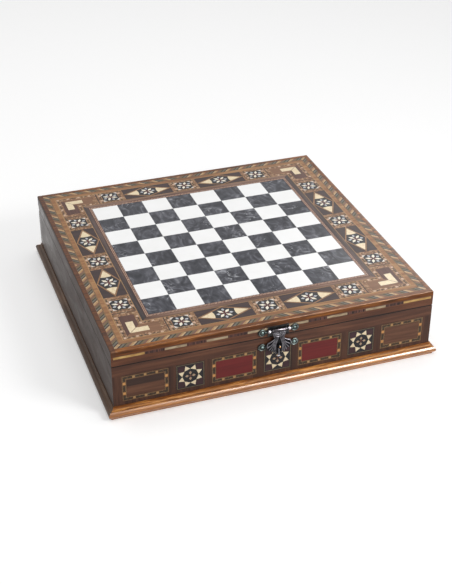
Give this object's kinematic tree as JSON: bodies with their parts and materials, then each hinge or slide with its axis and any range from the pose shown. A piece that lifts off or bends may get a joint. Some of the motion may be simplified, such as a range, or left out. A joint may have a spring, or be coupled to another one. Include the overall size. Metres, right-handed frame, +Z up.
{
  "type": "chess box",
  "caption": "Shallow square box with a moulded foot, an inlaid front, a hasp latch and a hinged lid whose top is an inlaid chessboard; it stores the chessmen.",
  "frame": {"origin": "middle of the underside, level with what the box stands on", "axes": "+X to the right of the latch side, +Y from the latch side to the hinge side, +Z up"},
  "size_m": [0.301, 0.301, 0.0646],
  "materials": {
    "dark_veneer": "satin dark stained veneer",
    "walnut": "varnished walnut veneer",
    "golden_varnish": "glossy golden brown varnish",
    "core_board": "plain beech board",
    "mosaic_tan": "varnished micro mosaic of light and dark woods",
    "red_inlay": "red dyed wood under varnish",
    "brown_inlay": "red brown wood under varnish",
    "ebony_inlay": "near black wood under varnish",
    "plum_inlay": "dark purple brown wood under varnish",
    "cream_inlay": "cream bone-like inlay under varnish",
    "tan_line": "striped line of light and red brown woods",
    "rope_inlay": "slanted light, green and dark woods under varnish",
    "white_square": "polished white",
    "marbled_square": "polished charcoal, marbled pale grey",
    "velvet": "dark red velvet",
    "hinge_brass": "polished brass",
    "antique_metal": "antique dark pewter"
  },
  "bodies": {
    "case": {"bottom_panel": "core_board", "front_wall": "dark_veneer", "right_wall": "dark_veneer", "back_wall": "dark_veneer", "left_wall": "dark_veneer", "front_moulding": "golden_varnish", "right_moulding": "golden_varnish", "back_moulding": "golden_varnish", "left_moulding": "golden_varnish", "front_veneer": "walnut", "panel_frames": "mosaic_tan", "red_fields": "red_inlay", "brown_fields": "brown_inlay", "star_grounds": "plum_inlay", "star_points": "cream_inlay", "star_middles": "ebony_inlay", "star_kites": "cream_inlay", "divider": "walnut", "floor_lining": "velvet", "wall_lining": "velvet", "hinge_case_leaves": "hinge_brass", "hinge_case_screws": "hinge_brass", "hinge_pins": "hinge_brass", "catch_plate": "antique_metal", "catch_plate_nails": "antique_metal"},
    "lid": {"lid_front_rail": "walnut", "lid_right_rail": "dark_veneer", "lid_back_rail": "dark_veneer", "lid_left_rail": "dark_veneer", "lid_core": "core_board", "lid_lining": "velvet", "lid_lipping": "golden_varnish", "light_strip_bars": "cream_inlay", "dark_strip_bars": "plum_inlay", "dark_squares": "marbled_square", "light_squares": "white_square", "board_line": "tan_line", "board_surround": "plum_inlay", "plain_border": "walnut", "rope_banding": "rope_inlay", "medallion_grounds": "mosaic_tan", "medallion_rosettes": "ebony_inlay", "diamond_grounds": "plum_inlay", "rhomb_tips": "cream_inlay", "rhomb_middles": "ebony_inlay", "spacer_strips": "mosaic_tan", "corner_grounds": "brown_inlay", "corner_chevrons": "cream_inlay", "hinge_lid_leaves": "hinge_brass", "hinge_lid_screws": "hinge_brass", "lid_plate": "antique_metal", "latch_pin": "antique_metal", "lid_plate_nails": "antique_metal"},
    "hasp": {"hasp": "antique_metal"}
  },
  "joints": [
    {"name": "lid_hinge", "type": "hinge", "parent": "case", "child": "lid", "pos_m": [0, 0.142, 0.0501], "axis": [-1, 0, 0], "range_deg": [0, 100]},
    {"name": "hasp_pivot", "type": "hinge", "parent": "lid", "child": "hasp", "pos_m": [0, -0.148, 0.0572], "axis": [-1, 0, 0], "range_deg": [0, 170]}
  ]
}
